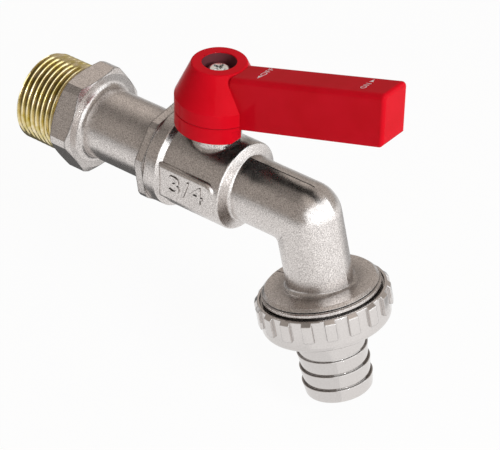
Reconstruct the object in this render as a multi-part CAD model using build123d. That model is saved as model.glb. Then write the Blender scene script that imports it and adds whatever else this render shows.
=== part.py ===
from build123d import *
from math import cos, radians, sin, tan
import os

# Hose tap: a lever-operated ball valve with a threaded inlet, a bent spout and a union for a hose tail.
# Millimetres and degrees. The origin is on the pipe's axis at the shoulder where the inlet thread ends.
# Water flows along +X and the stem stands along +Z. Places named *_from_stem are measured along the pipe
# from the stem's axis, and those named *_down along the outlet's axis from the spout's knuckle.

# Fits
running_gap = 0.05
thread_gap = 0.05
seat_gap = 0.03
drive_gap = 0.05
face_gap = 0.3
stop_gap_angle = 1.0

# Inlet connector
inlet_thread_r = 13.22
inlet_thread_length = 15.0
inlet_thread_chamfer = 0.6
hex_across_flats = 28.6
hex_thickness = 7.0
hex_corner_r = 15.85
hex_bevel_length = 0.8
hex_bevel_height = 1.6
hex_edge_round = 0.2
hex_turn = 3.0
neck_r = 10.5
neck_fillet = 1.85
ring_across_flats = 28.2
ring_corner_r = 14.9
ring_edge_round = 0.2
ring_thickness = 2.6
ring_turn = 9.0
inlet_bore_r = 7.5
spigot_r = 11.25
spigot_length = 6.7

# Body
stem_x = 49.4
body_end_from_stem = -15.5
collar_rise = 1.3
collar_length = 3.8
collar_edge_r = 0.7
barrel_r = 12.8
barrel_end_from_stem = 9.6
barrel_end_round = 0.7
barrel_end_taper = 1.4
barrel_end_fillet = 1.2
pad_start_from_stem = -11.0
pad_end_from_stem = 8.4
pad_half_height = 5.5
pad_rise = 0.3
pad_corner_r = 3.0
pad_edge_round = 1.2
chamber_r = 10.3
chamber_thread_length = 7.0
spout_half_r = 9.9
spout_half_shift = 0.8
spout_crease_fillet = 2.5
spout_bore_r = 7.0
spout_fillet = 1.6
knuckle_from_stem = 30.95
outlet_angle = 76.0

# Stem boss and its stop
boss_r = 6.4
boss_foot_fillet = 1.8
boss_top_z = 19.6
stop_lug_reach = 2.2
stop_lug_foot_z = 9.0
stop_lug_start = 96.0
stop_lug_end = 109.0

# Outlet end of the body
flange_top_down = 20.6
flange_top_r = 15.5
flange_mid_r = 16.3
flange_r = 16.8
flange_bevel = 0.8
flange_groove = 0.35
flange_thickness = 2.3
relief_r = 15.4
relief_width = 0.9
outlet_thread_r = 16.62
outlet_mouth_length = 5.7
outlet_thread_chamfer = 0.8
outlet_recess_r = 13.2
outlet_recess_depth = 4.8

# Ball, seats and stem
ball_r = 8.9
ball_bore_r = 6.0
seat_thickness = 3.2
seat_bore_r = 6.2
stem_r = 4.0
stem_collar_r = 5.4
stem_collar_gap = 0.4
stem_collar_thickness = 1.6
thrust_washer_thickness = 1.0
tang_thickness = 3.9
tang_length = 8.0
tang_depth = 2.3
stem_square = 5.6
stem_top_gap = 0.6
o_ring_section_r = 0.87
o_ring_groove_width = 2.2
o_ring_above_washer = (2.0, 5.0)

# Handle
handle_quarter_turn = 90.0
hub_rim_z = 36.2
hub_rim_r = 7.6
hub_cone_z = 26.3
hub_r = 12.25
hub_seam_z = 22.1
hub_seam_depth = 0.25
hub_bottom_z = 17.4
hub_rim_round = 0.6
hub_floor_gap = 1.0
skirt_wall = 1.85
skirt_front_from_stem = 10.0
stop_rib_gap = 1.0
stop_rib_angle = 12.0
screw_well_r = 4.8
screw_well_floor_z = 31.4
lever_rise = 16.35
lever_length = 57.1
lever_width = 10.2
lever_top_at_stem_z = 33.7
lever_height = 15.5
lever_top_round = 1.6
lever_edge_round = 1.0
lever_wall = 2.0
lever_roof = 2.6
lever_pocket_start = 15.0

# Handle screw
screw_r = 1.95
screw_tip_z = 23.5
screw_hole_spare = 1.0
screw_head_r = 3.1
screw_head_height = 2.1
screw_head_round = 0.9
screw_slot_length = 4.0
screw_slot_width = 0.9
screw_slot_depth = 1.1
spring_washer_r = 3.4
spring_washer_thickness = 0.8
spring_washer_split = 0.8

# Union nut
nut_top_gap = 0.5
nut_wall = 1.53
nut_rib_rise = 0.8
nut_rib_count = 18
nut_rib_turn = 16.2
nut_rib_width = 2.9
nut_rib_length = 6.1
nut_mouth_r = 17.4
nut_mouth_depth = 0.6
nut_top_bevel = 1.0
nut_bottom_round = 1.6
nut_lip_thickness = 1.6

# Hose tail and its gasket
gasket_thickness = 1.5
gasket_r = 15.4
gasket_bore_r = 8.4
tail_collar_r = 15.3
tail_collar_thickness = 1.5
tail_shank_r = 9.55
tail_bore_r = 7.4
barb_r = 10.05
barb_root_r = 9.45
barb_count = 3
barb_first_down = 41.1
barb_pitch = 4.6
tail_tip_down = 54.6
tail_tip_round = 1.0

# Worked out from the sizes above
body_end_x = stem_x + body_end_from_stem
ring_start_x = body_end_x - ring_thickness
spigot_end_x = body_end_x + spigot_length
seat_end_from_stem = -(body_end_from_stem + spigot_length)
collar_r = barrel_r + collar_rise
collar_end_x = body_end_x + collar_length
pad_y = barrel_r + pad_rise
spout_side_r = spout_half_r - spout_half_shift
barrel_end_x = stem_x + barrel_end_from_stem
knuckle_x = stem_x + knuckle_from_stem
stem_bore_r = stem_r + running_gap
stem_collar_bottom_z = ball_r + stem_collar_gap
stem_collar_top_z = stem_collar_bottom_z + stem_collar_thickness
thrust_washer_top_z = stem_collar_top_z + thrust_washer_thickness
o_ring_z = [thrust_washer_top_z + height for height in o_ring_above_washer]
stem_top_z = screw_well_floor_z - stem_top_gap
stop_lug_r = boss_r + stop_lug_reach
skirt_inner_r = hub_r - skirt_wall
stop_rib_inner_r = boss_r + stop_rib_gap
hub_floor_z = boss_top_z + hub_floor_gap
stop_gap_start = stop_lug_start - stop_gap_angle
stop_gap_end = stop_lug_end + stop_gap_angle + handle_quarter_turn
screw_hole_tip_z = screw_tip_z - screw_hole_spare
screw_head_bottom_z = screw_well_floor_z + spring_washer_thickness
flange_bottom_down = flange_top_down + flange_thickness
outlet_end_down = flange_bottom_down + outlet_mouth_length
gasket_end_down = outlet_end_down + gasket_thickness
tail_collar_end_down = gasket_end_down + tail_collar_thickness
nut_top_down = flange_bottom_down + nut_top_gap
nut_bottom_down = tail_collar_end_down + nut_lip_thickness
nut_bore_r = outlet_thread_r + thread_gap
nut_r = nut_bore_r + nut_wall
nut_rib_r = nut_r + nut_rib_rise
nut_opening_r = barb_r + face_gap

# The stem's axis, and the outlet's frame: its origin at the knuckle and its Z down the spout
stem_place = Location((stem_x, 0, 0))
outlet_direction = Vector(cos(radians(outlet_angle)), 0, -sin(radians(outlet_angle)))
outlet_place = Plane(origin=(knuckle_x, 0, 0), x_dir=(0, 1, 0), z_dir=outlet_direction).location


def turned(points, axis, rounds=()):
    """A solid of revolution from an outline in the XZ plane, with some of its corners rounded."""
    outline = make_face(Polyline(*points, close=True))
    for corner, radius in rounds:
        vertex = outline.vertices().sort_by_distance(Vector(*corner))[0]
        outline = fillet(vertex, radius)
    return revolve(Plane.XZ * outline, axis)


def tube(inner_r, outer_r, low, high):
    """A plain ring along Z."""
    return turned([(inner_r, low), (outer_r, low), (outer_r, high), (inner_r, high)], Axis.Z)


def along_x(radius, start, end):
    """A cylinder on the pipe's axis."""
    return extrude(Plane.YZ.offset(start) * Circle(radius), end - start)


def along_z(radius, low, high):
    """A cylinder on the Z axis."""
    return extrude(Plane.XY.offset(low) * Circle(radius), high - low)


def prism_x(sides, across_flats, edge_round, turn, start, end):
    """A regular prism on the pipe's axis; with no turn it has a flat on top."""
    flat_on_top = 90 - 180 / sides
    section = RegularPolygon(across_flats / 2, sides, major_radius=False, rotation=flat_on_top + turn)
    section = fillet(section.vertices(), edge_round)
    return extrude(Plane.YZ.offset(start) * section, end - start)


def sector(radius, low, high, start_angle, end_angle):
    """A slice of a cylinder about Z between two angles."""
    section = make_face(Polyline((0, low), (radius, low), (radius, high), (0, high), close=True))
    wedge = revolve(Plane.XZ * section, Axis.Z, end_angle - start_angle)
    return Rot(0, 0, start_angle) * wedge


def inlet_connector():
    thread = turned(
        [(-inlet_thread_length, 0), (-inlet_thread_length, inlet_thread_r), (0, inlet_thread_r), (0, 0)],
        Axis.X,
    )
    thread = chamfer(thread.edges().filter_by(GeomType.CIRCLE).sort_by(Axis.X)[0], inlet_thread_chamfer)
    hexagon = prism_x(6, hex_across_flats, hex_edge_round, hex_turn, 0, hex_thickness)
    bevelled_r = hex_corner_r - hex_bevel_height
    hexagon &= turned(
        [
            (0, 0),
            (0, bevelled_r),
            (hex_bevel_length, hex_corner_r),
            (hex_thickness - hex_bevel_length, hex_corner_r),
            (hex_thickness, bevelled_r),
            (hex_thickness, 0),
        ],
        Axis.X,
    )
    neck_foot_r = neck_r + 2 * neck_fillet
    neck = turned(
        [
            (0, 0),
            (0, neck_foot_r),
            (hex_thickness, neck_foot_r),
            (hex_thickness, neck_r),
            (ring_start_x, neck_r),
            (ring_start_x, 0),
        ],
        Axis.X,
        [((hex_thickness, neck_r), neck_fillet)],
    )
    ring = prism_x(8, ring_across_flats, ring_edge_round, ring_turn, ring_start_x, body_end_x)
    ring &= along_x(ring_corner_r, ring_start_x, body_end_x)
    spigot = along_x(spigot_r, body_end_x, spigot_end_x)
    bore = along_x(inlet_bore_r, -inlet_thread_length, ring_start_x)
    throat = along_x(seat_bore_r, ring_start_x, spigot_end_x)
    return thread + hexagon + neck + ring + spigot - bore - throat


def bent_tube(radius):
    """Two round tubes that meet in a ball at the knuckle."""
    level = along_x(radius, stem_x, knuckle_x)
    knuckle = Pos(knuckle_x, 0, 0) * Sphere(radius)
    lower = outlet_place * along_z(radius, 0, flange_top_down)
    return level + knuckle + lower


def spout():
    """The outside of the spout: two forged halves, each a little under a half round, that meet in a ridge."""
    half = bent_tube(spout_half_r)
    half = fillet(half.edges().filter_by(GeomType.ELLIPSE), spout_crease_fillet)
    return (Pos(0, spout_half_shift, 0) * half) & (Pos(0, -spout_half_shift, 0) * half)


def stem_boss():
    """The upright boss and the fillet at its foot, cut off short of the barrel's round end."""
    boss = stem_place * along_z(boss_r, 0, boss_top_z)
    trunk = along_x(barrel_r, body_end_x, stem_x + 2 * boss_r) + boss
    foot = trunk.edges().filter_by(GeomType.BSPLINE)
    trunk = fillet(foot, boss_foot_fillet)
    kept = barrel_end_x - barrel_end_round - body_end_x
    reach = 2 * boss_top_z
    return trunk & Pos(body_end_x + kept / 2, 0, 0) * Box(kept, reach, reach)


def body_shell():
    """The casting's outside, before it is bored."""
    taper_end_x = barrel_end_x + barrel_end_taper
    fillet_end_x = taper_end_x + 2 * barrel_end_fillet
    barrel = turned(
        [
            (body_end_x, 0),
            (body_end_x, barrel_r),
            (barrel_end_x, barrel_r),
            (taper_end_x, spout_side_r),
            (fillet_end_x, spout_side_r),
            (fillet_end_x, 0),
        ],
        Axis.X,
        [((barrel_end_x, barrel_r), barrel_end_round), ((taper_end_x, spout_side_r), barrel_end_fillet)],
    )
    collar = turned(
        [
            (body_end_x, 0),
            (body_end_x, collar_r),
            (collar_end_x, collar_r),
            (collar_end_x + collar_r - barrel_r, barrel_r),
            (collar_end_x + collar_r - barrel_r, 0),
        ],
        Axis.X,
        [((collar_end_x, collar_r), collar_edge_r)],
    )
    pad_length = pad_end_from_stem - pad_start_from_stem
    pad_middle_x = stem_x + (pad_start_from_stem + pad_end_from_stem) / 2
    pads = Pos(pad_middle_x, 0, 0) * Box(pad_length, 2 * pad_y, 2 * pad_half_height)
    outlet_corners = pads.edges().filter_by(Axis.Y).group_by(Axis.X)[-1]
    pads = fillet(outlet_corners, pad_corner_r)
    pad_faces = pads.faces().filter_by(Axis.Y)
    pads = fillet(pad_faces.edges(), pad_edge_round)
    boss = stem_place * along_z(boss_r, 0, boss_top_z)
    return barrel + stem_boss() + boss + collar + pads + spout()


def outlet_end():
    """The flange and the threaded mouth that the union screws on, turned about the outlet's axis."""
    middle = flange_top_down + flange_bevel
    relief_end = flange_bottom_down + relief_width
    fillet_start = flange_top_down - 2 * spout_fillet
    return outlet_place * turned(
        [
            (0, fillet_start),
            (spout_side_r, fillet_start),
            (spout_side_r, flange_top_down),
            (flange_top_r, flange_top_down),
            (flange_mid_r, middle),
            (flange_mid_r - flange_groove, middle + flange_groove),
            (flange_r, middle + 2 * flange_groove),
            (flange_r, flange_bottom_down),
            (relief_r, flange_bottom_down),
            (relief_r, relief_end),
            (outlet_thread_r, relief_end),
            (outlet_thread_r, outlet_end_down - outlet_thread_chamfer),
            (outlet_thread_r - outlet_thread_chamfer, outlet_end_down),
            (0, outlet_end_down),
        ],
        Axis.Z,
        [((spout_side_r, flange_top_down), spout_fillet)],
    )


def stop_lug():
    return stem_place * sector(stop_lug_r, stop_lug_foot_z, boss_top_z, stop_lug_start, stop_lug_end)


def body():
    casting = body_shell() + outlet_end() + stop_lug()
    thread_end_x = body_end_x + chamber_thread_length
    casting -= along_x(spigot_r + thread_gap, body_end_x, thread_end_x)
    casting -= along_x(chamber_r, body_end_x, stem_x + seat_end_from_stem)
    casting -= bent_tube(spout_bore_r)
    casting -= outlet_place * along_z(spout_bore_r, 0, outlet_end_down)
    casting -= outlet_place * along_z(outlet_recess_r, outlet_end_down - outlet_recess_depth, outlet_end_down)
    casting -= stem_place * along_z(stem_collar_r + running_gap, 0, thrust_washer_top_z)
    casting -= stem_place * along_z(stem_bore_r, 0, boss_top_z)
    return casting


def seat_ring(turn):
    """A seat beside the ball: with no turn on its inlet side, and turned half round on its outlet side."""
    outer_r = chamber_r - running_gap
    back = -seat_end_from_stem
    front = back + seat_thickness
    ring = turned([(back, seat_bore_r), (front, seat_bore_r), (front, outer_r), (back, outer_r)], Axis.X)
    return stem_place * (Rot(0, 0, turn) * (ring - Sphere(ball_r + seat_gap)))


def ball():
    slot_top = ball_r
    slot_bottom = stem_collar_bottom_z - tang_depth - drive_gap
    slot = Pos(0, 0, (slot_top + slot_bottom) / 2) * Box(
        tang_thickness + 2 * drive_gap, 2 * ball_r, slot_top - slot_bottom
    )
    return stem_place * (Sphere(ball_r) - along_x(ball_bore_r, -ball_r, ball_r) - slot)


def stem():
    shaft = along_z(stem_r, stem_collar_bottom_z, boss_top_z + face_gap)
    shaft += along_z(stem_collar_r, stem_collar_bottom_z, stem_collar_top_z)
    tang = Box(tang_thickness, tang_length, tang_depth)
    shaft += Pos(0, 0, stem_collar_bottom_z - tang_depth / 2) * tang
    square_bottom = boss_top_z + face_gap
    square = Plane.XY.offset(square_bottom) * Rectangle(stem_square, stem_square)
    shaft += extrude(square, stem_top_z - square_bottom)
    for z in o_ring_z:
        floor_r = stem_bore_r - 2 * o_ring_section_r - running_gap
        shaft -= tube(floor_r, stem_bore_r, z - o_ring_groove_width / 2, z + o_ring_groove_width / 2)
    shaft -= along_z(screw_r + thread_gap, screw_hole_tip_z, stem_top_z)
    return stem_place * shaft


def stem_o_ring(z):
    ring_r = stem_bore_r - o_ring_section_r - running_gap / 2
    return stem_place * (Pos(0, 0, z) * Torus(ring_r, o_ring_section_r))


def stem_thrust_washer():
    return stem_place * tube(stem_bore_r, stem_collar_r, stem_collar_top_z, thrust_washer_top_z)


def lever_z(x, drop=0):
    """Height of the lever's top, or of a face that far under it, at a distance from the stem."""
    return lever_top_at_stem_z + x * tan(radians(lever_rise)) - drop


def lever_block(start, end, top_drop, bottom_drop, width):
    """A piece of the rising lever with upright ends."""
    side = Polyline(
        (start, lever_z(start, bottom_drop)),
        (end, lever_z(end, bottom_drop)),
        (end, lever_z(end, top_drop)),
        (start, lever_z(start, top_drop)),
        close=True,
    )
    return extrude(Plane.XZ * make_face(side), width / 2, both=True)


def lever():
    bar = lever_block(hub_rim_r, lever_length, 0, lever_height, lever_width)
    long_edges = bar.edges().filter_by(Axis.Y, reverse=True).filter_by(Axis.Z, reverse=True)
    bar = fillet(long_edges.group_by(Axis.Z)[-1], lever_top_round)
    end_edges = bar.faces().sort_by(Axis.X)[-1].edges()
    bar = fillet(end_edges, lever_edge_round)
    pocket_end = lever_length - lever_wall
    pocket_width = lever_width - 2 * lever_wall
    return bar - lever_block(lever_pocket_start, pocket_end, lever_roof, 2 * lever_height, pocket_width)


def stop_rib(start_angle):
    """A rib inside the hub's skirt, which meets the body's stop lug at one end of the turn."""
    middle_r = (skirt_inner_r + hub_r) / 2
    rib = sector(middle_r, hub_bottom_z, hub_floor_z, start_angle, start_angle + stop_rib_angle)
    return rib - along_z(stop_rib_inner_r, hub_bottom_z, hub_floor_z)


def handle():
    hub = turned(
        [
            (0, hub_bottom_z),
            (hub_r, hub_bottom_z),
            (hub_r, hub_seam_z - hub_seam_depth),
            (hub_r - hub_seam_depth, hub_seam_z),
            (hub_r, hub_seam_z + hub_seam_depth),
            (hub_r, hub_cone_z),
            (hub_rim_r, hub_rim_z),
            (0, hub_rim_z),
        ],
        Axis.Z,
        [((hub_rim_r, hub_rim_z), hub_rim_round), ((hub_r, hub_cone_z), hub_rim_round)],
    )
    front_height = lever_z(skirt_front_from_stem, lever_height) - hub_bottom_z
    front = Pos(skirt_front_from_stem + hub_r / 2, 0, hub_bottom_z + front_height / 2)
    hub -= front * Box(hub_r, 2 * hub_r, front_height)
    hub += lever()
    hub -= along_z(screw_well_r, screw_well_floor_z, hub_rim_z)
    hub -= along_z(skirt_inner_r, hub_bottom_z, hub_floor_z)
    for rib_start in (stop_gap_start - stop_rib_angle, stop_gap_end):
        hub += stop_rib(rib_start)
    socket = stem_square + 2 * drive_gap
    hub -= extrude(Plane.XY.offset(hub_floor_z) * Rectangle(socket, socket), screw_well_floor_z - hub_floor_z)
    return stem_place * hub


def handle_screw():
    head_top_z = screw_head_bottom_z + screw_head_height
    head = turned(
        [
            (0, screw_head_bottom_z),
            (screw_head_r, screw_head_bottom_z),
            (screw_head_r, head_top_z),
            (0, head_top_z),
        ],
        Axis.Z,
        [((screw_head_r, head_top_z), screw_head_round)],
    )
    for length, width in ((screw_slot_length, screw_slot_width), (screw_slot_width, screw_slot_length)):
        head -= Pos(0, 0, head_top_z - screw_slot_depth / 2) * Box(length, width, screw_slot_depth)
    return stem_place * (head + along_z(screw_r, screw_tip_z, screw_head_bottom_z))


def handle_screw_washer():
    ring = tube(screw_r + face_gap, spring_washer_r, screw_well_floor_z, screw_head_bottom_z)
    split = Box(spring_washer_r, spring_washer_split, 2 * spring_washer_thickness)
    return stem_place * (ring - Pos(spring_washer_r / 2, 0, screw_well_floor_z) * split)


def union_nut():
    rib_depth = nut_rib_r - relief_r
    rib = Pos(relief_r + rib_depth / 2, 0, nut_top_down + nut_rib_length / 2) * Box(
        rib_depth, nut_rib_width, nut_rib_length
    )
    blank = along_z(nut_r, nut_top_down, nut_bottom_down)
    for i in range(nut_rib_count):
        blank += Rot(0, 0, nut_rib_turn + 360 * i / nut_rib_count) * rib
    blank &= turned(
        [
            (0, nut_top_down),
            (nut_rib_r - nut_top_bevel, nut_top_down),
            (nut_rib_r, nut_top_down + nut_top_bevel),
            (nut_rib_r, nut_bottom_down - nut_bottom_round),
            (nut_r, nut_bottom_down - nut_bottom_round),
            (nut_r, nut_bottom_down),
            (0, nut_bottom_down),
        ],
        Axis.Z,
        [((nut_r, nut_bottom_down), nut_bottom_round)],
    )
    blank -= along_z(nut_mouth_r, nut_top_down, nut_top_down + nut_mouth_depth)
    blank -= along_z(nut_bore_r, nut_top_down, tail_collar_end_down)
    blank -= along_z(nut_opening_r, nut_top_down, nut_bottom_down)
    return outlet_place * blank


def hose_tail():
    outline = [
        (tail_bore_r, gasket_end_down),
        (tail_collar_r, gasket_end_down),
        (tail_collar_r, tail_collar_end_down),
        (tail_shank_r, tail_collar_end_down),
        (tail_shank_r, barb_first_down),
    ]
    for i in range(barb_count):
        ledge_down = barb_first_down + i * barb_pitch
        taper_end = ledge_down + barb_pitch if i < barb_count - 1 else tail_tip_down
        outline += [(barb_r, ledge_down), (barb_root_r, taper_end)]
    outline.append((tail_bore_r, tail_tip_down))
    tip = [((barb_root_r, tail_tip_down), tail_tip_round)]
    return outlet_place * turned(outline, Axis.Z, tip)


def hose_gasket():
    return outlet_place * tube(gasket_bore_r, gasket_r, outlet_end_down, gasket_end_down)


nodes = {
    "body": body(),
    "inlet_connector": inlet_connector(),
    "seat_ring_inlet": seat_ring(0),
    "seat_ring_outlet": seat_ring(180),
    "ball": ball(),
    "stem": stem(),
    "stem_thrust_washer": stem_thrust_washer(),
    "stem_o_ring_lower": stem_o_ring(o_ring_z[0]),
    "stem_o_ring_upper": stem_o_ring(o_ring_z[1]),
    "handle": handle(),
    "handle_screw": handle_screw(),
    "handle_screw_washer": handle_screw_washer(),
    "union_nut": union_nut(),
    "hose_tail": hose_tail(),
    "hose_gasket": hose_gasket(),
}
os.makedirs("parts", exist_ok=True)
for name, shape in nodes.items():
    export_step(shape, f"parts/{name}.step")
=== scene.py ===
from math import atan2, cos, hypot, pi, radians, sin, tan

import bmesh
import bpy
from mathutils import Matrix, Quaternion, Vector


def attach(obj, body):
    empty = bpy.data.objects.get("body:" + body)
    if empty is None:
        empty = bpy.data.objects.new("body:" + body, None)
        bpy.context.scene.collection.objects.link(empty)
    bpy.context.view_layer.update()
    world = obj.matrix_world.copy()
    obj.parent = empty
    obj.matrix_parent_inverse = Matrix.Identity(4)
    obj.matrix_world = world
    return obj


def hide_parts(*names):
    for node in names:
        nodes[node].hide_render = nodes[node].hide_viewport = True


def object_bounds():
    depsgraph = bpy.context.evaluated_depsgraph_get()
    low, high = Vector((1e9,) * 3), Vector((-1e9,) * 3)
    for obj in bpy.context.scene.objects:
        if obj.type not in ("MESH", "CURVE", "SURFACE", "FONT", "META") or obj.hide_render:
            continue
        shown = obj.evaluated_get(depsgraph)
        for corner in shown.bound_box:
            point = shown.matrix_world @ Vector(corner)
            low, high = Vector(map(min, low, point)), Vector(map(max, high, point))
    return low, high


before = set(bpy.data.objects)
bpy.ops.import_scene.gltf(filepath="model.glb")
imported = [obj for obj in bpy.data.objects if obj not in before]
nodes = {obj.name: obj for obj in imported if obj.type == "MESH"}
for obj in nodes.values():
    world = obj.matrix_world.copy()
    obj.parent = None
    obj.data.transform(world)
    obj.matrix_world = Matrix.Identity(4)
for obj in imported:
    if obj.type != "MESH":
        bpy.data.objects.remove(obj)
cad_low, cad_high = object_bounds()

MM = 0.001

# The stem's axis, as in the solids
STEM_X = 49.4 * MM

# The lever's rise, its open underside and the screw's well, as in the solids
LEVER_RISE = radians(16.35)
LEVER_TOP_AT_STEM_Z = 33.7 * MM
LEVER_ROOF = 2.6 * MM
POCKET_HALF_WIDTH = 3.1 * MM
POCKET_START_X = STEM_X + 15.0 * MM
POCKET_END_X = STEM_X + 55.1 * MM
SCREW_WELL_R = 4.8 * MM
SCREW_WELL_TOP_Z = 35.9 * MM

# How far beyond the pocket and the well the painted shade reaches, and how far down a face looks to take
# near-black painted shade
SHADE_MARGIN = 0.05 * MM
FACING_DOWN = -0.6

# The body's flat pad, and the parting line along the top of the spout, as far as its bend
PAD_Y = -13.1 * MM
PARTING_START_X = STEM_X + 11.0 * MM
PARTING_END_X = STEM_X + 33.0 * MM
PARTING_HALF_WIDTH = 0.18 * MM

# Painted shade in creases, on ledges and in broad hollows: the reach that is looked at, how open a place is
# where the shade is full and where there is none, and the shade there
CREASE = (0.45 * MM, 0.38, 0.78, 0.1)
FINE_CREASE = (0.3 * MM, 0.4, 0.72, 0.05)
GROOVE = (1.2 * MM, 0.3, 0.75, 0.12)
HOLLOW = (7.0 * MM, 0.4, 0.95, 0.15)
LEDGE = (1.0 * MM, 0.5, 0.9, 0.1)
SHADE_SAMPLES = 8

# Painted shade as dark lines along edges: their reach and their shade, and how far a surface turns where they
# are full and end
CONNECTOR_EDGE = (0.8 * MM, 0.35)
NUT_EDGE = (0.15 * MM, 0.6)
EDGE_TURNED = 0.9
EDGE_FLAT = 0.985
EDGE_SAMPLES = 6

# How fine the materials' noise is, in grains per metre, and the values that it mostly keeps between
CAST_GRAIN = 3300.0
TURNED_GRAIN = 2800.0
SHEEN_GRAIN = 500.0
STAIN_GRAIN = 420.0
TOOL_MARK_GRAIN = 900.0
TOOL_MARK_STRETCH = (6.0, 0.6, 0.6)
PAINT_SHADE_GRAIN = 90.0
PAINT_SKIN_GRAIN = 500.0
PLAIN_METAL_GRAIN = 1500.0
PLASTIC_GRAIN = 800.0
INK_GRAIN = 1400.0
NOISE_LOW = 0.3
NOISE_HIGH = 0.7

# Colours that noise mixes, dark and light, and plain ones
CAST_SHADES = ((0.39, 0.36, 0.345), (0.95, 0.895, 0.86))
TURNED_SHADES = ((0.66, 0.625, 0.605), (0.73, 0.695, 0.675))
BRASS_SHADES = ((0.66, 0.54, 0.17), (0.95, 0.83, 0.58))
RED_SHADES = ((0.64, 0.004, 0.013), (0.7, 0.006, 0.019))
INK_SHADES = ((0.78, 0.58, 0.65), (0.95, 0.84, 0.88))
STEEL_SHADES = ((0.84, 0.84, 0.83), (0.95, 0.95, 0.94))
CHROME_SHADES = ((0.78, 0.78, 0.8), (0.86, 0.86, 0.88))
PLASTIC_SHADES = ((0.78, 0.78, 0.76), (0.88, 0.88, 0.86))
RUBBER_SHADES = ((0.012, 0.012, 0.012), (0.028, 0.028, 0.028))
PARTING_COLOUR = (0.03, 0.03, 0.03)
# Painted shade: dark red in the screw's well, near-black in the lever's pocket and on faces that look down
WELL_SHADE = (0.16, 0.045, 0.055)
UNDERSIDE_SHADE = (0.012, 0.012, 0.012)
WHITE = (1.0, 1.0, 1.0)

# Roughness that noise varies, least and most
CAST_ROUGHNESS = (0.24, 0.31)
TURNED_ROUGHNESS = (0.09, 0.14)
BRASS_ROUGHNESS = (0.09, 0.17)


def principled(name, **sockets):
    """A new material with its main shader's sockets set."""
    made = bpy.data.materials.new(name)
    made.use_nodes = True
    shader = made.node_tree.nodes["Principled BSDF"]
    for socket, value in sockets.items():
        shader.inputs[socket.replace("_", " ")].default_value = value
    return made, made.node_tree, shader


def add(tree, kind, **settings):
    """A new shader node with some of its properties and inputs set."""
    node = tree.nodes.new(kind)
    for key, value in settings.items():
        if hasattr(node, key):
            setattr(node, key, value)
        else:
            node.inputs[key.replace("_", " ")].default_value = value
    return node


def ramp(tree, value, stops):
    """A colour ramp fed by a value."""
    node = tree.nodes.new("ShaderNodeValToRGB")
    elements = node.color_ramp.elements
    while len(elements) < len(stops):
        elements.new(0.5)
    for element, (place, colour) in zip(elements, stops):
        element.position = place
        element.color = (*colour, 1.0)
    tree.links.new(value, node.inputs["Fac"])
    return node.outputs["Color"]


def grey_ramp(tree, value, stops):
    """A ramp through greys fed by a value."""
    return ramp(tree, value, [(place, (grey,) * 3) for place, grey in stops])


def mottled(tree, value, shades):
    """Two shades, dark and light, mixed by noise."""
    dark, light = shades
    return ramp(tree, value, [(NOISE_LOW, dark), (NOISE_HIGH, light)])


def roughened(tree, shader, value, limits):
    """A roughness that noise varies between its limits."""
    least, most = limits
    dull = grey_ramp(tree, value, [(NOISE_LOW, least), (NOISE_HIGH, most)])
    tree.links.new(dull, shader.inputs["Roughness"])


def noise(tree, scale, detail=3.0, stretch=None):
    """Noise in the part's own coordinates, in grains per metre, and stretched along an axis if asked."""
    place = tree.nodes.new("ShaderNodeTexCoord").outputs["Object"]
    if stretch:
        mapping = add(tree, "ShaderNodeMapping")
        mapping.inputs["Scale"].default_value = stretch
        tree.links.new(place, mapping.inputs["Vector"])
        place = mapping.outputs["Vector"]
    made = add(tree, "ShaderNodeTexNoise", Scale=scale, Detail=detail)
    tree.links.new(place, made.inputs["Vector"])
    return made.outputs["Fac"]


def calculate(tree, operation, first, second):
    """A sum on two values, each a number or another node's output."""
    node = add(tree, "ShaderNodeMath", operation=operation)
    for socket, value in zip(node.inputs, (first, second)):
        if isinstance(value, float):
            socket.default_value = value
        else:
            tree.links.new(value, socket)
    return node.outputs[0]


def between(tree, value, low, high):
    """1 where a value lies between two limits, and 0 elsewhere."""
    above = calculate(tree, "GREATER_THAN", value, low)
    return calculate(tree, "MULTIPLY", above, calculate(tree, "LESS_THAN", value, high))


def beside_axis(tree, y, half_width):
    """1 within a half-width of the tap's middle plane, and 0 elsewhere."""
    return calculate(tree, "LESS_THAN", calculate(tree, "ABSOLUTE", y, 0.0), half_width)


def blend(tree, share, first, second):
    """Two colours mixed by a share; the second is a fixed colour."""
    node = add(tree, "ShaderNodeMix", data_type="RGBA")
    tree.links.new(share, node.inputs["Factor"])
    tree.links.new(first, node.inputs["A"])
    node.inputs["B"].default_value = (*second, 1.0)
    return node.outputs["Result"]


def place_axes(tree):
    """The part's own X, Y and Z at the shaded point."""
    split = add(tree, "ShaderNodeSeparateXYZ")
    tree.links.new(tree.nodes.new("ShaderNodeTexCoord").outputs["Object"], split.inputs["Vector"])
    return split.outputs["X"], split.outputs["Y"], split.outputs["Z"]


def stem_distance(tree, x, y):
    """How far a point lies along X from the stem's axis, and how far in all on plan."""
    aside = calculate(tree, "SUBTRACT", x, STEM_X)
    square_x = calculate(tree, "POWER", aside, 2.0)
    square_y = calculate(tree, "POWER", y, 2.0)
    return aside, calculate(tree, "SQRT", calculate(tree, "ADD", square_x, square_y), 0.0)


def facing_up(tree):
    """How far the surface faces up, from -1 to 1."""
    split = add(tree, "ShaderNodeSeparateXYZ")
    tree.links.new(tree.nodes.new("ShaderNodeNewGeometry").outputs["True Normal"], split.inputs["Vector"])
    return split.outputs["Z"]


def bump(tree, shader, height, distance, strength, edge_round=0.0):
    """A bump of a distance in metres, over edges that are rounded a little if asked."""
    made = add(tree, "ShaderNodeBump", Strength=strength, Distance=distance)
    tree.links.new(height, made.inputs["Height"])
    if edge_round:
        rounded = add(tree, "ShaderNodeBevel", samples=EDGE_SAMPLES, Radius=edge_round)
        tree.links.new(rounded.outputs["Normal"], made.inputs["Normal"])
    tree.links.new(made.outputs["Normal"], shader.inputs["Normal"])


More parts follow.
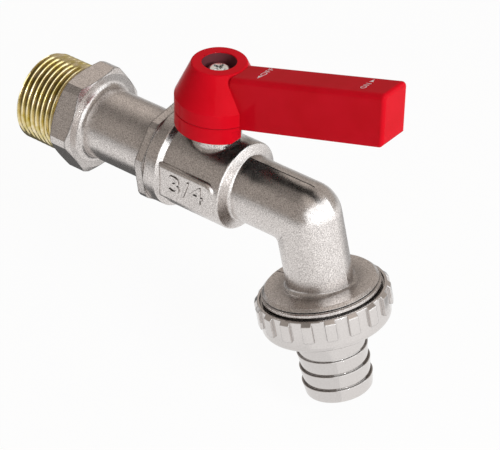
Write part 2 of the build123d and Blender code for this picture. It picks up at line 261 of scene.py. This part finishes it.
def shaded(tree, colour, value, stops, share=None):
    """A colour darkened by a value that runs through grey stops, wholly or by a share."""
    node = add(tree, "ShaderNodeMix", data_type="RGBA", blend_type="MULTIPLY", Factor=1.0)
    if share:
        tree.links.new(share, node.inputs["Factor"])
    tree.links.new(colour, node.inputs["A"])
    tree.links.new(grey_ramp(tree, value, stops), node.inputs["B"])
    return node.outputs["Result"]


def painted_shade(tree, colour, crease, share=None):
    """A colour with painted shade in creases or hollows, fuller where they are more closed."""
    reach, closed, opened, dark = crease
    hidden = add(tree, "ShaderNodeAmbientOcclusion", samples=SHADE_SAMPLES, Distance=reach)
    return shaded(tree, colour, hidden.outputs["AO"], [(closed, dark), (opened, 1.0)], share)


def edge_lined(tree, colour, edge):
    """A colour with painted shade in dark lines along the edges, where the surface turns within a short
    distance.
    """
    reach, dark = edge
    rounded = add(tree, "ShaderNodeBevel", samples=EDGE_SAMPLES, Radius=reach)
    turned = add(tree, "ShaderNodeVectorMath", operation="DOT_PRODUCT")
    tree.links.new(rounded.outputs["Normal"], turned.inputs[0])
    tree.links.new(tree.nodes.new("ShaderNodeNewGeometry").outputs["True Normal"], turned.inputs[1])
    return shaded(tree, colour, turned.outputs["Value"], [(EDGE_TURNED, dark), (EDGE_FLAT, 1.0)])


def satin_nickel(name, edge=None):
    """Sandblasted and nickel-plated casting: a fine speckle over a soft sheen, a dark parting line, and
    painted shade in creases, in hollows where it faces up and, if asked, along edges.
    """
    made, tree, shader = principled(name, Metallic=1.0)
    grain = noise(tree, CAST_GRAIN)
    x, y, _ = place_axes(tree)
    upward = calculate(tree, "MAXIMUM", facing_up(tree), 0.0)
    along = between(tree, x, PARTING_START_X, PARTING_END_X)
    line = calculate(tree, "MULTIPLY", along, beside_axis(tree, y, PARTING_HALF_WIDTH))
    seam = calculate(tree, "MULTIPLY", line, upward)
    colour = blend(tree, seam, mottled(tree, grain, CAST_SHADES), PARTING_COLOUR)
    # Painted shade as dark lines along the edges, if asked
    if edge:
        colour = edge_lined(tree, colour, edge)
    # Painted shade in broad hollows where the surface faces up, and in creases
    colour = painted_shade(tree, colour, HOLLOW, upward)
    tree.links.new(painted_shade(tree, colour, CREASE), shader.inputs["Base Color"])
    roughened(tree, shader, noise(tree, SHEEN_GRAIN), CAST_ROUGHNESS)
    bump(tree, shader, grain, distance=0.06 * MM, strength=0.35, edge_round=0.15 * MM)
    return made


def turned_nickel():
    """Turned and nickel-plated: smoother, with only a faint speckle, and painted shade along its edges, on
    its ledges and in fine creases.
    """
    made, tree, shader = principled("turned_nickel", Metallic=1.0)
    grain = noise(tree, TURNED_GRAIN, detail=2.0)
    # Painted shade as dark lines along the edges
    colour = edge_lined(tree, mottled(tree, grain, TURNED_SHADES), NUT_EDGE)
    upward = calculate(tree, "MAXIMUM", facing_up(tree), 0.0)
    # Painted shade on ledges that face up, and in fine creases
    colour = painted_shade(tree, colour, LEDGE, upward)
    tree.links.new(painted_shade(tree, colour, FINE_CREASE), shader.inputs["Base Color"])
    roughened(tree, shader, noise(tree, SHEEN_GRAIN), TURNED_ROUGHNESS)
    bump(tree, shader, grain, distance=0.04 * MM, strength=0.15, edge_round=0.4 * MM)
    return made


def bare_brass():
    """Unplated brass with stains, painted shade in its grooves, and the marks of the tool round it."""
    made, tree, shader = principled("bare_brass", Metallic=1.0)
    colour = mottled(tree, noise(tree, STAIN_GRAIN, detail=4.0), BRASS_SHADES)
    # Painted shade in the thread's grooves
    tree.links.new(painted_shade(tree, colour, GROOVE), shader.inputs["Base Color"])
    marks = noise(tree, TOOL_MARK_GRAIN, stretch=TOOL_MARK_STRETCH)
    roughened(tree, shader, marks, BRASS_ROUGHNESS)
    bump(tree, shader, marks, distance=0.04 * MM, strength=0.2)
    return made


def red_paint():
    """Gloss red, with painted shade in the screw's well, and near-black painted shade in the pocket and on
    faces that look down.
    """
    made, tree, shader = principled("red_paint", Roughness=0.06, Specular_IOR_Level=0.035)
    red = mottled(tree, noise(tree, PAINT_SHADE_GRAIN), RED_SHADES)
    x, y, z = place_axes(tree)
    aside, distance = stem_distance(tree, x, y)
    # Painted shade in the screw's well
    in_well = calculate(tree, "LESS_THAN", distance, SCREW_WELL_R + SHADE_MARGIN)
    well = calculate(tree, "MULTIPLY", in_well, calculate(tree, "LESS_THAN", z, SCREW_WELL_TOP_Z))
    coated = blend(tree, well, red, WELL_SHADE)
    # Near-black painted shade in the lever's pocket and on faces that look down
    along = between(tree, x, POCKET_START_X - SHADE_MARGIN, POCKET_END_X + SHADE_MARGIN)
    across = beside_axis(tree, y, POCKET_HALF_WIDTH + SHADE_MARGIN)
    height = calculate(tree, "SUBTRACT", z, calculate(tree, "MULTIPLY", aside, tan(LEVER_RISE)))
    below = calculate(tree, "LESS_THAN", height, LEVER_TOP_AT_STEM_Z - LEVER_ROOF + SHADE_MARGIN)
    pocket = calculate(tree, "MULTIPLY", calculate(tree, "MULTIPLY", along, across), below)
    down = calculate(tree, "LESS_THAN", facing_up(tree), FACING_DOWN)
    underside_shade = calculate(tree, "MAXIMUM", pocket, down)
    tree.links.new(blend(tree, underside_shade, coated, UNDERSIDE_SHADE), shader.inputs["Base Color"])
    skin = noise(tree, PAINT_SKIN_GRAIN, detail=2.0)
    bump(tree, shader, skin, distance=0.02 * MM, strength=0.08, edge_round=0.2 * MM)
    return made


def plain_metal(name, shades, roughness):
    """Finely grained metal, with painted shade in its creases."""
    made, tree, shader = principled(name, Metallic=1.0, Roughness=roughness)
    grain = noise(tree, PLAIN_METAL_GRAIN)
    tree.links.new(painted_shade(tree, mottled(tree, grain, shades), CREASE), shader.inputs["Base Color"])
    bump(tree, shader, grain, distance=0.03 * MM, strength=0.2)
    return made


def soft_plastic(name, shades, roughness):
    """Plastic or rubber with a fine grain."""
    made, tree, shader = principled(name, Roughness=roughness)
    grain = noise(tree, PLASTIC_GRAIN)
    tree.links.new(mottled(tree, grain, shades), shader.inputs["Base Color"])
    bump(tree, shader, grain, distance=0.03 * MM, strength=0.25)
    return made


def print_ink():
    """Pale ink, a little worn."""
    made, tree, shader = principled("print_ink", Roughness=0.4)
    wear = noise(tree, INK_GRAIN, detail=2.0)
    tree.links.new(mottled(tree, wear, INK_SHADES), shader.inputs["Base Color"])
    return made


cast_metal = satin_nickel("satin_nickel")
lined_metal = satin_nickel("satin_nickel_lined", CONNECTOR_EDGE)
turned_metal = turned_nickel()
brass = bare_brass()
paint = red_paint()
ink = print_ink()
steel = plain_metal("zinc_steel", STEEL_SHADES, roughness=0.2)
chrome = plain_metal("ball_chrome", CHROME_SHADES, roughness=0.1)
white_plastic = soft_plastic("seat_plastic", PLASTIC_SHADES, roughness=0.45)
rubber = soft_plastic("seal_rubber", RUBBER_SHADES, roughness=0.6)

node_materials = {
    "body": cast_metal,
    "seat_ring_inlet": white_plastic,
    "seat_ring_outlet": white_plastic,
    "ball": chrome,
    "stem": brass,
    "stem_thrust_washer": white_plastic,
    "stem_o_ring_lower": rubber,
    "stem_o_ring_upper": rubber,
    "handle": paint,
    "handle_screw": steel,
    "handle_screw_washer": steel,
    "union_nut": turned_metal,
    "hose_tail": turned_metal,
    "hose_gasket": rubber,
}
for node, look in node_materials.items():
    nodes[node].data.materials.clear()
    nodes[node].data.materials.append(look)


def place_object(name, data):
    """A new object in the scene."""
    made = bpy.data.objects.new(name, data)
    bpy.context.scene.collection.objects.link(made)
    return made


def piece(name, mesh, body, look):
    """A new object of the part that rides on a body."""
    made = place_object(name, mesh)
    mesh.materials.clear()
    mesh.materials.append(look)
    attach(made, body)
    return made


def finished(built, name):
    """A mesh from an editable one, which is let go."""
    mesh = bpy.data.meshes.new(name)
    built.to_mesh(mesh)
    built.free()
    return mesh


# The inlet thread: a right-hand helix of ridges in bare brass, in place of the solid's plain cylinder
THREAD_LENGTH = 15.0 * MM
THREAD_CREST_R = 13.22 * MM
THREAD_DEPTH = 1.162 * MM
THREAD_PITCH = 1.814 * MM
THREAD_CHAMFER = 0.6 * MM
THREAD_BORE_R = 7.5 * MM
THREAD_END = -0.02 * MM
THREAD_RUN_OUT = 0.9 * MM
CREST_SHARE = 0.14
ROOT_SHARE = 0.14

# The thread's mesh: faces in a pitch and in a turn, the angle of its sharp edges, and how flat its ends lie
PROFILE_STEPS = 14
TURN_STEPS = 96
SHARP_ANGLE = radians(40)
END_FACING = 0.99
MERGE_DISTANCE = 1e-7
PLANE_TOLERANCE = 1e-6
CUT_TOLERANCE = 1e-8


def thread_height(phase):
    """Share of the thread's depth at a place in its pitch: a flat crest, straight flanks and a flat root."""
    away = abs(phase - 0.5) * 2
    slope = (away - CREST_SHARE) / (1 - CREST_SHARE - ROOT_SHARE)
    return 1 - min(max(slope, 0.0), 1.0)


def thread_radius(x, share_of_turn):
    """The outside's radius, with a run-out before the hexagon and a chamfer at the pipe's end."""
    phase = (x / THREAD_PITCH - share_of_turn) % 1.0
    height = thread_height(phase)
    run_out = min(max((THREAD_END - x) / THREAD_RUN_OUT, 0.0), 1.0)
    radius = THREAD_CREST_R - THREAD_DEPTH * (1 - height * run_out)
    start = THREAD_CREST_R - THREAD_CHAMFER + (x + THREAD_LENGTH)
    return min(radius, start)


def thread_side(built):
    """The outside, wound along the helix so that its rows of faces follow the ridges."""
    step = THREAD_PITCH / PROFILE_STEPS
    rows = int(THREAD_LENGTH / step) + 2 * PROFILE_STEPS + 2
    low = -THREAD_LENGTH - THREAD_PITCH - step
    grid = []
    for i in range(TURN_STEPS):
        share = i / TURN_STEPS
        angle = 2 * pi * share
        column = []
        for j in range(rows + PROFILE_STEPS):
            x = low + j * step + THREAD_PITCH * share
            x = min(max(x, -THREAD_LENGTH), THREAD_END)
            radius = thread_radius(x, share)
            column.append(built.verts.new((x, radius * cos(angle), radius * sin(angle))))
        grid.append(column)
    for i in range(TURN_STEPS):
        last = i == TURN_STEPS - 1
        ahead = grid[0] if last else grid[i + 1]
        shift = PROFILE_STEPS if last else 0
        for j in range(rows - 1):
            built.faces.new((grid[i][j], grid[i][j + 1], ahead[j + 1 + shift], ahead[j + shift]))
    bmesh.ops.remove_doubles(built, verts=built.verts[:], dist=MERGE_DISTANCE)
    loose = [v for v in built.verts if not v.link_faces]
    bmesh.ops.delete(built, geom=loose, context="VERTS")


def thread_ends(built):
    """The two end faces, and the bore between them."""
    bores = []
    for x in (-THREAD_LENGTH, THREAD_END):
        rim = [v for v in built.verts if v.is_boundary and abs(v.co.x - x) < PLANE_TOLERANCE]
        rim.sort(key=lambda v: atan2(v.co.z, v.co.y))
        inward = [THREAD_BORE_R / hypot(v.co.y, v.co.z) for v in rim]
        bore = [built.verts.new((x, v.co.y * scale, v.co.z * scale)) for v, scale in zip(rim, inward)]
        for i in range(TURN_STEPS):
            built.faces.new((rim[i - 1], rim[i], bore[i], bore[i - 1]))
        bores.append(bore)
    near, far = bores
    for i in range(TURN_STEPS):
        built.faces.new((near[i - 1], near[i], far[i], far[i - 1]))


def thread_mesh():
    """A bored tube with the thread outside, smooth but for its sharp edges and its flat ends."""
    built = bmesh.new()
    thread_side(built)
    thread_ends(built)
    bmesh.ops.recalc_face_normals(built, faces=built.faces[:])
    mesh = finished(built, "inlet_thread")
    mesh.set_sharp_from_angle(angle=SHARP_ANGLE)
    for face in mesh.polygons:
        face.use_smooth = abs(face.normal.x) < END_FACING
    return mesh


def connector_mesh():
    """The plated part of the connector: the solid's mesh with its thread cut off."""
    built = bmesh.new()
    built.from_mesh(nodes["inlet_connector"].data)
    cut = bmesh.ops.bisect_plane(
        built,
        geom=built.verts[:] + built.edges[:] + built.faces[:],
        dist=CUT_TOLERANCE,
        plane_co=(THREAD_END, 0, 0),
        plane_no=(-1, 0, 0),
        clear_outer=True,
    )
    rims = [e for e in cut["geom_cut"] if isinstance(e, bmesh.types.BMEdge)]
    bmesh.ops.triangle_fill(built, edges=rims, use_beauty=True, normal=(-1, 0, 0))
    return finished(built, "inlet_connector_plated")


piece("inlet_thread", thread_mesh(), "tap_body", brass)
connector = piece("inlet_connector_plated", connector_mesh(), "tap_body", lined_metal)
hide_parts("inlet_connector")

# Raised size mark on the pad, and printed turning marks on the lever
SIZE_MARK_X = STEM_X - 0.95 * MM
SIZE_MARK_Z = 0.75 * MM
SIZE_MARK_WIDTH = 11.7 * MM
SIZE_MARK_HEIGHT = 5.5 * MM
SIZE_MARK_RISE = 0.35 * MM
PRINT_HEIGHT = 1.8 * MM
PRINT_RISE = 0.03 * MM
LETTER_PITCH = 1.55 * MM
LETTER_CURVE_STEPS = 4
MARK_SINK = 0.02 * MM
TRIANGLE_LENGTH = 1.5 * MM
TRIANGLE_WIDTH = 1.4 * MM

# Each word's distance from the stem, the word's Y and its triangle's Y, and the way the triangle points
LEVER_MARKS = {
    "off": (15.2 * MM, 1.15 * MM, -2.25 * MM, -1),
    "on": (48.2 * MM, -0.8 * MM, 2.4 * MM, 1),
}


def lettering(name, words, width, height, rise):
    """Letters raised along Z and centred on the origin, made at any depth and then scaled to size."""
    curve = bpy.data.curves.new(name, "FONT")
    curve.body = words
    curve.extrude = 0.5
    curve.resolution_u = LETTER_CURVE_STEPS
    mesh = bpy.data.meshes.new_from_object(bpy.data.objects.new(name, curve))
    low = Vector([min(v.co[axis] for v in mesh.vertices) for axis in range(3)])
    high = Vector([max(v.co[axis] for v in mesh.vertices) for axis in range(3)])
    size = high - low
    wanted = Vector((width, height, rise + MARK_SINK))
    middle = Vector(((low.x + high.x) / 2, (low.y + high.y) / 2, low.z))
    scale = Matrix.Diagonal([wanted[axis] / size[axis] for axis in range(3)]).to_4x4()
    mesh.transform(Matrix.Translation((0, 0, -MARK_SINK)) @ scale @ Matrix.Translation(-middle))
    return mesh


def triangle(name, side):
    """A small printed triangle that points along X, to one side or the other."""
    tip = side * TRIANGLE_LENGTH / 2
    corners = [(tip, 0), (-tip, TRIANGLE_WIDTH / 2), (-tip, -TRIANGLE_WIDTH / 2)]
    built = bmesh.new()
    flat = built.faces.new([built.verts.new((x, y, -MARK_SINK)) for x, y in corners])
    raised = bmesh.ops.extrude_face_region(built, geom=[flat])
    top = [v for v in raised["geom"] if isinstance(v, bmesh.types.BMVert)]
    bmesh.ops.translate(built, verts=top, vec=(0, 0, PRINT_RISE + MARK_SINK))
    bmesh.ops.recalc_face_normals(built, faces=built.faces[:])
    return finished(built, name)


def pad_frame():
    """The pad's own axes: X along the pipe, Y up and Z out of the pad."""
    axes = Matrix(((1, 0, 0), (0, 0, -1), (0, 1, 0))).to_4x4()
    return Matrix.Translation((SIZE_MARK_X, PAD_Y, SIZE_MARK_Z)) @ axes


def lever_frame(from_stem, y):
    """The lever's top at a place on it: X across the lever, Y towards the hub and Z out of the top."""
    z = LEVER_TOP_AT_STEM_Z + from_stem * tan(LEVER_RISE)
    along = Vector((-cos(LEVER_RISE), 0, -sin(LEVER_RISE)))
    across = Vector((0, 1, 0))
    axes = Matrix((across, along, across.cross(along))).transposed().to_4x4()
    return Matrix.Translation((STEM_X + from_stem, y, z)) @ axes


size_mesh = lettering("size_mark", "3/4", SIZE_MARK_WIDTH, SIZE_MARK_HEIGHT, SIZE_MARK_RISE)
size_mesh.transform(pad_frame())
piece("size_mark", size_mesh, "tap_body", cast_metal)

for word, (from_stem, word_y, arrow_y, side) in LEVER_MARKS.items():
    word_mesh = lettering(word, word.upper(), len(word) * LETTER_PITCH, PRINT_HEIGHT, PRINT_RISE)
    word_mesh.transform(lever_frame(from_stem, word_y))
    piece(f"{word}_print", word_mesh, "handle_set", ink)
    arrow_mesh = triangle(f"{word}_arrow", side)
    arrow_mesh.transform(lever_frame(from_stem, arrow_y))
    piece(f"{word}_arrow", arrow_mesh, "handle_set", ink)

# Camera, fitted to the photograph
CAMERA_TARGET = Vector((STEM_X, 0, 0))
CAMERA_AZIMUTH = 37.781
CAMERA_ELEVATION = 35.273
CAMERA_ROLL = radians(1.0)
CAMERA_DISTANCE = 618.0 * MM
CAMERA_ASIDE = 8.71 * MM
CAMERA_BELOW = 14.30 * MM
CAMERA_LENS = 160.7
CAMERA_CLIP_START = 10.0 * MM


def towards(azimuth, elevation):
    """Unit vector to a place round the tap, from its angles in degrees."""
    a = radians(azimuth)
    e = radians(elevation)
    return Vector((sin(a) * cos(e), -cos(a) * cos(e), sin(e)))


back = towards(CAMERA_AZIMUTH, CAMERA_ELEVATION)
level_right = Vector((cos(radians(CAMERA_AZIMUTH)), sin(radians(CAMERA_AZIMUTH)), 0))
level_up = back.cross(level_right)
right = cos(CAMERA_ROLL) * level_right + sin(CAMERA_ROLL) * level_up
up = cos(CAMERA_ROLL) * level_up - sin(CAMERA_ROLL) * level_right
camera_place = CAMERA_TARGET + CAMERA_DISTANCE * back + CAMERA_ASIDE * right - CAMERA_BELOW * up
camera_data = bpy.data.cameras.new("camera")
camera_data.lens = CAMERA_LENS
camera_data.clip_start = CAMERA_CLIP_START
camera = place_object("camera", camera_data)
camera.matrix_world = Matrix.Translation(camera_place) @ Matrix((right, up, back)).transposed().to_4x4()
bpy.context.scene.camera = camera

# Floor, low enough to clear the tail when the nut is unscrewed, and how much of it is its own glow
FLOOR_SIZE = 6.0
FLOOR_GAP = 6.0 * MM
FLOOR_GLOW = 0.95
FLOOR_COLOUR = (0.86, 0.86, 0.86, 1.0)

# How bright the metal sees the floor, as (distance from the stem in metres, grey), and between which shares
# of that distance along X the left passes into the right
FLOOR_ON_LEFT = ((0.14, 0.93), (0.27, 0.74), (0.6, 0.5), (1.0, 0.4))
FLOOR_ON_RIGHT = ((0.14, 0.98), (0.3, 1.15), (0.8, 1.35))
LEFT_ENDS = 0.1
RIGHT_STARTS = 0.6


def rectangle(name, width, height, look):
    """A flat mesh about the origin."""
    x = width / 2
    y = height / 2
    mesh = bpy.data.meshes.new(name)
    mesh.from_pydata([(-x, -y, 0), (x, -y, 0), (x, y, 0), (-x, y, 0)], [], [(0, 1, 2, 3)])
    mesh.materials.append(look)
    return mesh


def floor_material():
    """Pale floor with a soft shadow: white to the camera, and grey far off on the left to the metal."""
    made, tree, shader = principled("floor", Roughness=0.8, Base_Color=FLOOR_COLOUR)
    x, y, _ = place_axes(tree)
    aside, distance = stem_distance(tree, x, y)
    rightward = add(tree, "ShaderNodeMapRange", interpolation_type="SMOOTHSTEP")
    rightward.inputs["From Min"].default_value = LEFT_ENDS
    rightward.inputs["From Max"].default_value = RIGHT_STARTS
    tree.links.new(calculate(tree, "DIVIDE", aside, distance), rightward.inputs["Value"])
    mirrored = add(tree, "ShaderNodeMix", data_type="RGBA")
    tree.links.new(rightward.outputs["Result"], mirrored.inputs["Factor"])
    tree.links.new(grey_ramp(tree, distance, FLOOR_ON_LEFT), mirrored.inputs["A"])
    tree.links.new(grey_ramp(tree, distance, FLOOR_ON_RIGHT), mirrored.inputs["B"])
    path = tree.nodes.new("ShaderNodeLightPath")
    glow = add(tree, "ShaderNodeEmission", Strength=1.0)
    glow_colour = blend(tree, path.outputs["Is Camera Ray"], mirrored.outputs["Result"], WHITE)
    tree.links.new(glow_colour, glow.inputs["Color"])
    seen = calculate(tree, "MAXIMUM", path.outputs["Is Camera Ray"], path.outputs["Is Glossy Ray"])
    mix = tree.nodes.new("ShaderNodeMixShader")
    tree.links.new(calculate(tree, "MULTIPLY", seen, FLOOR_GLOW), mix.inputs["Fac"])
    tree.links.new(shader.outputs["BSDF"], mix.inputs[1])
    tree.links.new(glow.outputs["Emission"], mix.inputs[2])
    tree.links.new(mix.outputs["Shader"], tree.nodes["Material Output"].inputs["Surface"])
    return made


floor_mesh = rectangle("floor", FLOOR_SIZE, FLOOR_SIZE, floor_material())
floor_mesh.transform(Matrix.Translation((0, 0, cad_low.z - FLOOR_GAP)))
floor = place_object("floor", floor_mesh)

# The room: its grey, its look to the camera, and broad patches that are lighter or darker, as
# (azimuth, elevation, reach, change)
ROOM_GREY = 0.36
ROOM_TINT = (1.08, 0.98, 0.9)
ROOM_SEEN = (0.97, 0.97, 0.97)
ROOM_PATCHES = (
    (-75, 75, 45, -0.2),
    (-130, 42, 35, 0.25),
    (-148, 5, 24, -0.07),
    (75, 78, 40, 0.35),
    (178, 2, 48, 0.1),
)


def studio_world():
    """A mid-grey room, white where the camera sees it."""
    world = bpy.data.worlds.new("studio")
    world.use_nodes = True
    tree = world.node_tree
    direction = tree.nodes.new("ShaderNodeTexCoord").outputs["Generated"]
    room = ROOM_GREY
    for azimuth, elevation, reach, change in ROOM_PATCHES:
        near = add(tree, "ShaderNodeVectorMath", operation="DOT_PRODUCT")
        tree.links.new(direction, near.inputs[0])
        near.inputs[1].default_value = towards(azimuth, elevation)
        patch = add(tree, "ShaderNodeMapRange", interpolation_type="SMOOTHSTEP")
        tree.links.new(near.outputs["Value"], patch.inputs["Value"])
        patch.inputs["From Min"].default_value = cos(radians(reach))
        patch.inputs["To Max"].default_value = change
        room = calculate(tree, "ADD", room, patch.outputs["Result"])
    tinted = add(tree, "ShaderNodeVectorMath", operation="SCALE")
    tinted.inputs[0].default_value = ROOM_TINT
    tree.links.new(room, tinted.inputs["Scale"])
    path = tree.nodes.new("ShaderNodeLightPath")
    seen = blend(tree, path.outputs["Is Camera Ray"], tinted.outputs["Vector"], ROOM_SEEN)
    tree.links.new(seen, tree.nodes["Background"].inputs["Color"])
    bpy.context.scene.world = world


studio_world()

# Lamps: some give the light, and the others, a little blue, are only mirrored in the metal
MIRRORED_TINT = (0.96, 1.03, 1.08)


def softbox(name, azimuth, elevation, distance, width, height, radiance, mirrored):
    """A rectangular lamp that faces the tap: only mirrored in the metal, or only for the light."""
    direction = towards(azimuth, elevation)
    lamp = bpy.data.lights.new(name, "AREA")
    lamp.shape = "RECTANGLE"
    lamp.size = width
    lamp.size_y = height
    lamp.energy = radiance * pi * width * height
    lamp.color = MIRRORED_TINT if mirrored else WHITE
    made = place_object(name, lamp)
    made.visible_camera = False
    made.visible_diffuse = not mirrored
    made.visible_glossy = mirrored
    made.rotation_mode = "QUATERNION"
    made.location = CAMERA_TARGET + distance * direction
    made.rotation_quaternion = (-direction).to_track_quat("-Z", "Y")


softbox(
    "sun", azimuth=76, elevation=28, distance=0.9,
    width=0.3, height=0.3, radiance=18.0, mirrored=False,
)
softbox(
    "key", azimuth=85, elevation=26, distance=0.9,
    width=2.4, height=0.95, radiance=1.5, mirrored=True,
)
softbox(
    "glint", azimuth=66, elevation=14, distance=0.85,
    width=0.03, height=0.1, radiance=25.0, mirrored=True,
)

# Cards that lie round the tap, as (x, y, width, height, grey, turn in degrees), with lengths in millimetres
CARD_Z = cad_low.z - 0.1 * MM
# low_dark_card, low_grey_card and hex_card are painted shadow of the tap on the floor, as the metal mirrors
# it
LOW_CARDS = {
    "low_dark_card": (-52, 20, 136, 116, 0.14, 0),
    "low_grey_card": (91, 101, 102, 58, 0.48, 0),
    "hex_card": (62, 58, 46, 28, 0.38, 0),
    "tail_card": (89, -31, 70, 50, 0.86, -40),
}

# A dark card between the hub's skirt and the spout, so that the spout doesn't mirror the red: painted shade
# in the spout's reflection
FLAG_PLACE = Vector((STEM_X + 11 * MM, 0, 20 * MM))
FLAG_WIDTH = 24 * MM
FLAG_HEIGHT = 13 * MM
FLAG_GREY = 0.02


def card(name, centre, facing, width, height, grey, turn=0):
    """A plain glowing card that only the shiny surfaces see, as a photographer sets round metal, to put
    painted shade into what the metal mirrors.
    """
    look = bpy.data.materials.new(name)
    look.use_nodes = True
    tree = look.node_tree
    glow = add(tree, "ShaderNodeEmission", Strength=grey)
    tree.links.new(glow.outputs["Emission"], tree.nodes["Material Output"].inputs["Surface"])
    made = place_object(name, rectangle(name, width, height, look))
    made.visible_camera = False
    made.visible_diffuse = False
    made.visible_shadow = False
    made.rotation_mode = "QUATERNION"
    made.location = centre
    made.rotation_quaternion = facing.to_track_quat("Z", "Y") @ Quaternion((0, 0, 1), radians(turn))


for name, (x, y, width, height, grey, turn) in LOW_CARDS.items():
    centre = Vector((x * MM, y * MM, CARD_Z))
    card(name, centre, Vector((0, 0, 1)), width * MM, height * MM, grey, turn)
card("black_flag", FLAG_PLACE, Vector((1, 0, 0)), FLAG_WIDTH, FLAG_HEIGHT, FLAG_GREY)

bpy.context.scene.view_settings.view_transform = "Standard"
